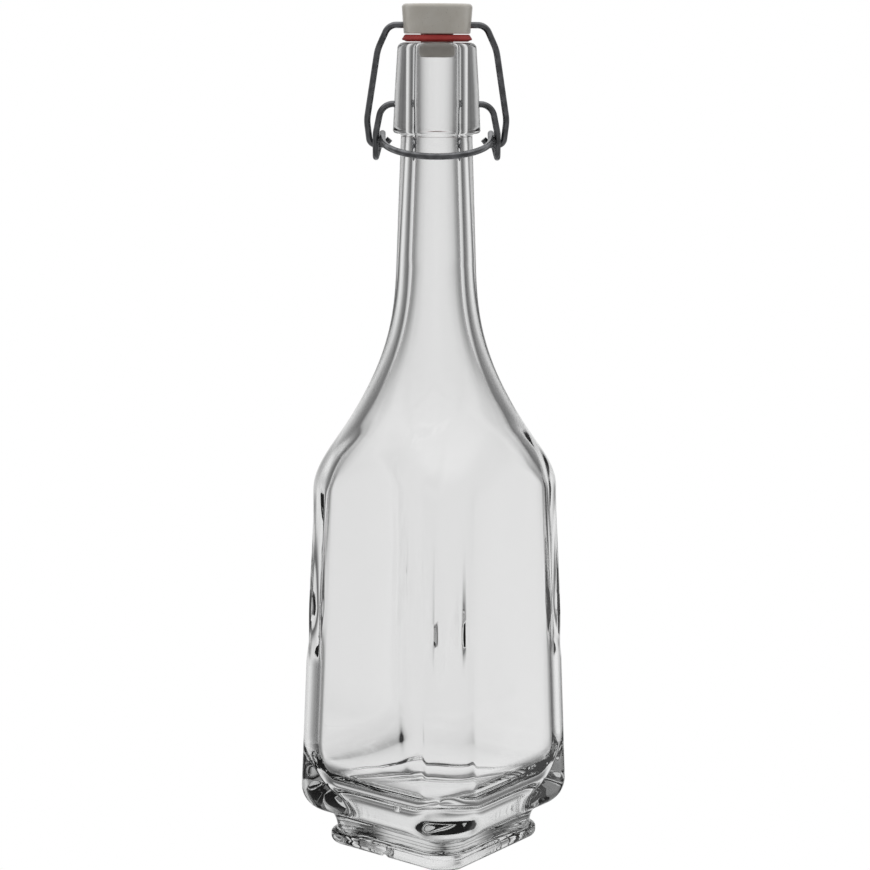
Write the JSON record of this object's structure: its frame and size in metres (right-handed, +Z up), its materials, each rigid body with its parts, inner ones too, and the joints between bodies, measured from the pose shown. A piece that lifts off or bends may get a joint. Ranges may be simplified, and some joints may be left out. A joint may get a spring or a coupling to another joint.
{
  "type": "swing-top bottle",
  "caption": "Slim square clear glass bottle with a porcelain swing stopper, a red rubber gasket and a wire bail closed by a lever wire.",
  "frame": {"origin": "centre of the foot, on the ground", "axes": "+Z up the bottle's axis, +X along the lever's pins, the lever's loop closes towards -Y"},
  "size_m": [0.1072, 0.1072, 0.335],
  "materials": {
    "clear_glass": "clear moulded soda-lime glass, glossy",
    "porcelain": "beige-grey glazed porcelain",
    "red_rubber": "matt red rubber",
    "bail_steel": "drawn steel wire, dull dark grey",
    "lever_steel": "drawn steel wire, dull dark grey"
  },
  "bodies": {
    "glass": {"bottle": "clear_glass"},
    "lever": {"lever_wire": "lever_steel"},
    "bail": {"top_bail": "bail_steel"},
    "stopper": {"stopper": "porcelain", "gasket": "red_rubber"}
  },
  "joints": [
    {"name": "lever_turn", "type": "hinge", "parent": "glass", "child": "lever", "pos_m": [0, 0, 0.2968], "axis": [-1, 0, 0], "range_deg": [0, 170]},
    {"name": "bail_turn", "type": "hinge", "parent": "lever", "child": "bail", "pos_m": [0, 0.00295, 0.281], "axis": [-1, 0, 0], "range_deg": [-116, 0]},
    {"name": "stopper_turn", "type": "hinge", "parent": "bail", "child": "stopper", "pos_m": [0, 0, 0.3269], "axis": [-1, 0, 0], "range_deg": [-55, 0]}
  ],
  "couplings": [
    {"joint": "bail_turn", "follows": "lever_turn", "ratio": -0.68},
    {"joint": "stopper_turn", "follows": "lever_turn", "ratio": -0.32}
  ]
}
